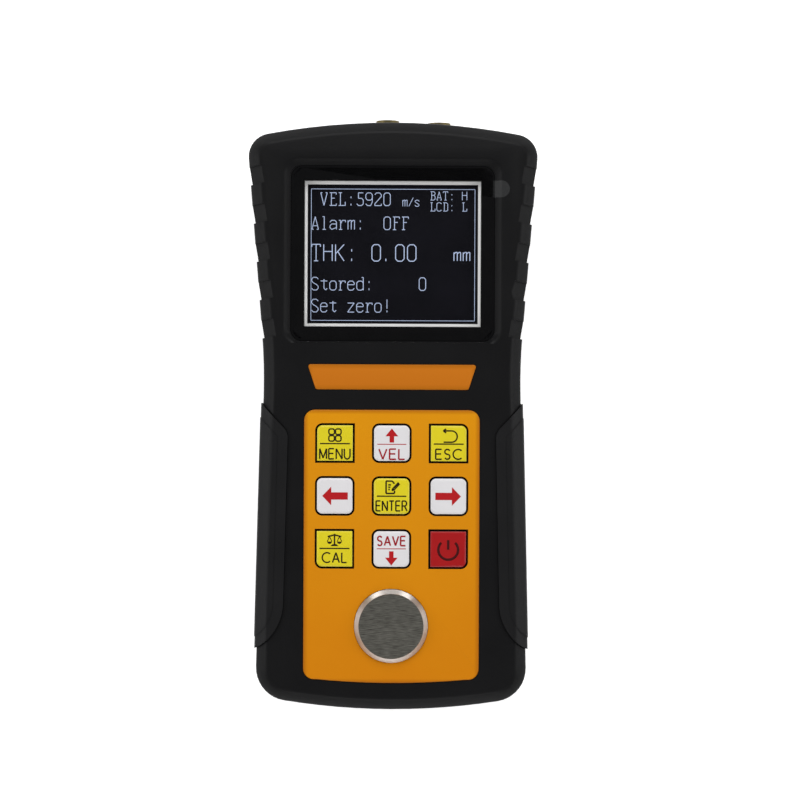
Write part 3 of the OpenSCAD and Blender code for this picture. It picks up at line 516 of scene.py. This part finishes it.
# Test block: a turned steel disc of known thickness for checking the probe, let into the fascia.
# Its face is ground with a straight grain, and the chamfer round it is polished bright.
ground_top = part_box("test_block")[1].z - TOP_SLACK
block_crease = 20
block = copy_of("test_block", "steel_disc", "case", block_crease)
f = Finish("ground_steel", Metallic=1.0)
grinding = f.noise(0.11 * MM, 3, (0.04, 1.0, 1.0))
sheen = f.noise(6 * MM, 2, (0.3, 1.0, 1.0))
rim = f.axis("Z") < ground_top
ground = (grinding - 0.5) * 2.4 + 0.35 + sheen * 0.3
ground_face = f.mix(ground, tone(84, 82, 76), tone(158, 156, 147))
f.feed("Base Color", f.mix(rim, ground_face, tone(240, 238, 234)))
f.feed("Roughness", 0.34 + 0.2 * grinding - 0.12 * rim)
f.bump(grinding * (1 - rim), 0.02 * MM)
paint(block, f.material)

# Keys: nine square caps of moulded plastic that press down through the fascia.
# Each cap has a flat top with softly rounded edges, and below its shoulder it is painted dark
# brown as shade, so that the gap round it shows as a dark line.
key_shoulder = fascia_high.z + 0.12 * MM
key_crease = 50


def key_plastic(name, dark, light):
    f = Finish(name, Specular_IOR_Level=0.3)
    grain = f.noise(0.25 * MM, 2)
    cloud = f.noise(7 * MM, 2)
    # Painted shade: below the shoulder every cap is dark brown, for the shade in the gap round it.
    sunk = f.axis("Z") < key_shoulder
    f.feed("Base Color", f.mix(sunk, f.mix(cloud, dark, light), tone(26, 11, 4)))
    f.feed("Roughness", 0.3 + 0.12 * grain + 0.3 * sunk)
    f.bump(grain, 0.01 * MM)
    return f.material


cap_finish = {
    "key_yellow": key_plastic("key_yellow", tone(211, 195, 30), tone(218, 203, 38)),
    "key_white": key_plastic("key_white", tone(214, 212, 214), tone(221, 219, 221)),
    "key_red": key_plastic("key_red", tone(154, 18, 21), tone(164, 24, 27)),
}
cap_colour = {
    "key_menu": "key_yellow", "key_up": "key_white", "key_escape": "key_yellow",
    "key_left": "key_white", "key_enter": "key_yellow", "key_right": "key_white",
    "key_calibrate": "key_yellow", "key_down": "key_white", "key_power": "key_red",
}
for node, colour in cap_colour.items():
    cap = copy_of(node, node.replace("key_", "cap_"), node, key_crease)
    cap_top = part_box(node)[1].z - TOP_SLACK
    round_edges(cap, 0.45 * MM, 25, 45, lambda place: place.z > cap_top)
    level_faces(cap)
    paint(cap, cap_finish[colour])

# Key legends: signs and words printed on the caps, dark on yellow and red, red on white.
# The ink is a thin raised film that rides with its key.
def ink(name, dark, light):
    f = Finish(name, Specular_IOR_Level=0.2)
    speck = f.noise(0.3 * MM, 3)
    f.feed("Base Color", f.mix(speck, dark, light))
    f.feed("Roughness", 0.4 + 0.2 * speck)
    f.bump(speck, 0.004 * MM)
    return f.material


dark_ink = ink("dark_ink", tone(26, 17, 3), tone(36, 25, 6))
red_ink = ink("red_ink", tone(166, 18, 24), tone(178, 26, 32))
maroon_ink = ink("maroon_ink", tone(150, 20, 30), tone(162, 28, 38))
brown_ink = ink("brown_ink", tone(56, 4, 6), tone(66, 7, 9))
INK = 0.02 * MM
INK_SPREAD, INK_FLATNESS = 1.25, 0.1


def filled(name, outlines):
    """A flat printed shape: outlines in millimetres, one inside another cuts a hole."""
    sheet = bpy.data.curves.new(name, "CURVE")
    sheet.dimensions = "2D"
    sheet.fill_mode = "BOTH"
    sheet.extrude = INK
    for outline in outlines:
        spline = sheet.splines.new("POLY")
        spline.points.add(len(outline) - 1)
        for point, (x, y) in zip(spline.points, outline):
            point.co = (x * MM, y * MM, 0, 1)
        spline.use_cyclic_u = True
    added(name, sheet)
    bpy.ops.object.convert(target="MESH")
    return bpy.context.object


def lines(strokes, width):
    """Printed line work: strokes and pen width in millimetres."""
    paths = [[(x * MM, y * MM) for x, y in stroke] for stroke in strokes]
    return pen_strokes("lines", paths, INK_SPREAD * width * MM, 0, INK_FLATNESS)


def round_line(x, y, radius, start, end, steps=12):
    turn = [math.radians(start + (end - start) * i / steps) for i in range(steps + 1)]
    return [(x + radius * math.cos(a), y + radius * math.sin(a)) for a in turn]


# Plain capitals as pen strokes in a box one high, with the width of each
capitals = {
    "A": (0.72, [[(0, 0), (0.36, 1), (0.72, 0)], [(0.12, 0.34), (0.6, 0.34)]]),
    "C": (0.83, [round_line(0.5, 0.5, 0.5, 48, 312)]),
    "E": (0.58, [[(0.58, 1), (0, 1), (0, 0), (0.58, 0)], [(0, 0.53), (0.52, 0.53)]]),
    "L": (0.52, [[(0, 1), (0, 0), (0.52, 0)]]),
    "M": (0.76, [[(0, 0), (0, 1), (0.38, 0.08), (0.76, 1), (0.76, 0)]]),
    "N": (0.66, [[(0, 0), (0, 1), (0.66, 0), (0.66, 1)]]),
    "R": (0.64, [
        [(0, 0), (0, 1), (0.34, 1)] + round_line(0.34, 0.75, 0.25, 90, -90, 8) + [(0, 0.5)],
        [(0.32, 0.5), (0.64, 0)]]),
    "S": (0.6, [
        round_line(0.3, 0.75, 0.25, 25, 270, 10) + round_line(0.3, 0.25, 0.25, 90, -155, 10)]),
    "T": (0.62, [[(0, 1), (0.62, 1)], [(0.31, 1), (0.31, 0)]]),
    "U": (0.64, [[(0, 1)] + round_line(0.32, 0.32, 0.32, 180, 360, 8) + [(0.64, 1)]]),
    "V": (0.7, [[(0, 1), (0.35, 0), (0.7, 1)]]),
}


def word(text, y, height, width, pen=0.41):
    """A word in plain capitals, centred on its key, as high and wide as asked."""
    space = 0.26
    full = sum(capitals[letter][0] + space for letter in text) - space
    at, strokes = -full / 2, []
    for letter in text:
        size, pens = capitals[letter]
        strokes += [[((at + a) * width / full, y + (b - 0.5) * height) for a, b in line]
                    for line in pens]
        at += size + space
    return lines(strokes, pen)


def arrow(tip, neck, tail, head, shaft, turn):
    """An arrow along +Y from tail to tip, turned by a quarter turn at a time."""
    points = [(0, tip), (head, neck), (shaft, neck), (shaft, tail),
              (-shaft, tail), (-shaft, neck), (-head, neck)]
    for _ in range(turn):
        points = [(-y, x) for x, y in points]
    return points


def legend(node, material, parts, kind="legend_"):
    """Joins the parts of one legend and lays them on the top of its key."""
    bpy.ops.object.select_all(action="DESELECT")
    for part in parts:
        part.select_set(True)
    piece = parts[0]
    bpy.context.view_layer.objects.active = piece
    if len(parts) > 1:
        bpy.ops.object.join()
    low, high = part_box(node)
    piece.name = node.replace("key_", kind)
    piece.location = ((low.x + high.x) / 2, (low.y + high.y) / 2, high.z + INK / 2)
    bpy.ops.object.transform_apply(location=True, rotation=True, scale=True)
    paint(piece, material)
    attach(piece, node)
    return piece


def tile(x, y, half, corner):
    """The closed outline of a square with round corners."""
    reach = half - corner
    outline = [p for cx, cy, a in ((1, 1, 0), (-1, 1, 90), (-1, -1, 180), (1, -1, 270))
               for p in round_line(x + cx * reach, y + cy * reach, corner, a, a + 90, 4)]
    return outline + outline[:1]


def rule(y, half=5.15):
    """The level line between a key's sign and its word."""
    return [(-half, y), (half, y)]


RULE_PEN, FINE_RULE_PEN, BOLD_PEN = 0.36, 0.24, 0.44
grid_sign = lines([tile(x, y, 0.95, 0.6) for x in (-1.15, 1.15) for y in (1.6, 3.9)], 0.4)
legend("key_menu", dark_ink, [
    grid_sign, lines([rule(-0.2)], RULE_PEN), word("MENU", -3.7, 3.5, 10.4)])

legend("key_up", red_ink, [
    filled("up", [arrow(5.1, 2.4, 0.25, 2.2, 0.78, 0)]), lines([rule(-0.35, 5)], FINE_RULE_PEN)])
legend("key_up", maroon_ink, [word("VEL", -3.75, 3.5, 8.8, BOLD_PEN)], "word_")

back_turn = [(-1.85, 4.35), (1.0, 4.35)] + round_line(1.0, 2.4, 1.95, 90, -90) + [(-1.75, 0.45)]
back_head = [(-0.9, 5.05), (-1.85, 4.35), (-0.9, 3.65)]
legend("key_escape", dark_ink, [
    lines([back_turn, back_head], 0.42), lines([rule(-0.2)], RULE_PEN),
    word("ESC", -3.7, 3.4, 8.9)])

level_arrow = (4.3, 1.2, -4.5, 3.2, 1.25)
legend("key_left", red_ink, [filled("left", [arrow(*level_arrow, 1)])])

page = [(1.0, 1.9), (1.0, 0.95), (-1.9, 0.95), (-1.9, 5.2), (0.2, 5.2), (0.95, 4.3)]
page_rows = [[(-1.15, 3.9), (-0.2, 3.9)], [(-1.15, 3.1), (-0.4, 3.1)], [(-1.15, 2.3), (-0.6, 2.3)]]
pencil = [(2.4, 4.7), (0.55, 2.75), (0.1, 1.95), (0.95, 2.3), (2.75, 4.3)]
legend("key_enter", dark_ink, [
    lines([page] + page_rows + [pencil], BOLD_PEN), lines([rule(0, 5.1)], RULE_PEN),
    word("ENTER", -3.35, 3.4, 10.6)])

legend("key_right", red_ink, [filled("right", [arrow(*level_arrow, 3)])])

pan_x, pan_y, pan_half = (-1.7, 1.7), 2.5, 0.8
pans = [[(x + pan_half, pan_y)] + round_line(x, pan_y, pan_half, 0, -180, 8) for x in pan_x]
hangers = [[(x - pan_half, pan_y), (x, 4.3), (x + pan_half, pan_y)] for x in pan_x]
beam = [(-2.35, 4.2), (-0.7, 4.65), (0, 4.8), (0.7, 4.65), (2.35, 4.2)]
post = [(0, 5.2), (0, 1.3)]
balance_foot = [(-1.4, 0.95), (1.4, 0.95), (0.7, 1.6), (-0.7, 1.6)]
legend("key_calibrate", dark_ink, [
    filled("pans", pans), lines(hangers, 0.22), lines([post, beam], 0.42),
    filled("foot", [balance_foot]), lines([rule(0.15)], RULE_PEN), word("CAL", -3.0, 3.4, 8.4)])

legend("key_down", red_ink, [
    filled("down", [arrow(5.6, 2.95, 0.75, 2.15, 0.78, 2)]), lines([rule(0.1, 5)], FINE_RULE_PEN)])
legend("key_down", maroon_ink, [word("SAVE", 2.8, 3.2, 9.7, BOLD_PEN)], "word_")

power_ring, power_bar = round_line(0, -0.15, 3.4, 135, 405, 32), [(0, 3.2), (0, -0.1)]
legend("key_power", brown_ink, [lines([power_ring, power_bar], 0.68)])

# Grips: two black rubber pads that wrap the lower edges, moulded over the shells.
# They are softer and greyer than the case, with a raised pad inside a lower border. The long
# creases of the pad, on the face and down the flank, are rounded.
rubber = moulded("grip_rubber", tone(20, 20, 21), tone(26, 26, 27), 0.55 * MM, 0.05 * MM, 0.52,
                 Specular_IOR_Level=0.13)
grip_crease = 28
face_drop, flank_drop, flank_start = 0.3 * MM, 4.0 * MM, 44.5 * MM
for node in ("grip_left", "grip_right"):
    pad = copy_of(node, node.replace("grip", "rubber"), "case", grip_crease)
    pad_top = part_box(node)[1].z
    round_edges(pad, 0.8 * MM, 30, 55, lambda place: place.z > pad_top - face_drop or (
        place.z > pad_top - flank_drop and abs(place.x) > flank_start))
    paint(pad, rubber)

# Case screws: four plated steel screws with hexagon sockets, sunk in counterbores of the back.
# They run through the rear shell into bosses of the front shell and clamp the two together.
paint(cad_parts["case_screws"], nickel)

# Studio: a pale sweep under the gauge, and the camera straight above the front.
# Four broad lights stand over the crown, the heel and the two sides, and two small low ones
# beyond the crown brighten the rim of the test block.
bpy.ops.object.select_all(action="DESELECT")
bpy.ops.mesh.primitive_plane_add(size=4, location=(0, 0, -0.2 * MM))
floor = bpy.context.object
floor.name = "floor"
f = Finish("floor_white", Emission_Strength=0.55, Roughness=0.9)
f.feed("Base Color", f.mix(f.noise(0.4, 2), tone(250, 250, 250), tone(252, 252, 252)))
f.feed("Emission Color", tone(255, 255, 255))
paint(floor, f.material)

for name, place, size, power in (
    ("crown_light", (0.0, 0.8, 0.75), 0.7, 7.5), ("left_light", (-0.85, 0.05, 0.55), 0.6, 4.2),
    ("right_light", (0.85, 0.05, 0.55), 0.6, 4.0), ("heel_light", (0.0, -0.85, 0.6), 0.6, 3.5),
    ("low_left_light", (-0.45, 0.78, 0.16), 0.3, 0.5),
    ("low_right_light", (0.45, 0.78, 0.16), 0.3, 0.5),
):
    bpy.ops.object.light_add(type="AREA", location=place)
    lamp = bpy.context.object
    lamp.name = name
    lamp.data.size = size
    lamp.data.energy = power
    x, y, z = place
    lamp.rotation_euler = (math.atan2(math.hypot(x, y), z), 0, math.atan2(y, x) + math.pi / 2)

world = bpy.data.worlds.new("studio")
world.use_nodes = True
background = world.node_tree.nodes["Background"].inputs
background["Color"].default_value = (1, 1, 1, 1)
background["Strength"].default_value = 0.1
bpy.context.scene.world = world
bpy.context.scene.view_settings.view_transform = "Standard"

camera_place, camera_roll = (2.75 * MM, 5.5 * MM, 809 * MM), math.radians(0.26)
bpy.ops.object.camera_add(location=camera_place, rotation=(0, 0, camera_roll))
camera = bpy.context.object
camera.data.lens = 101.5
camera.data.sensor_width = 36
bpy.context.scene.camera = camera
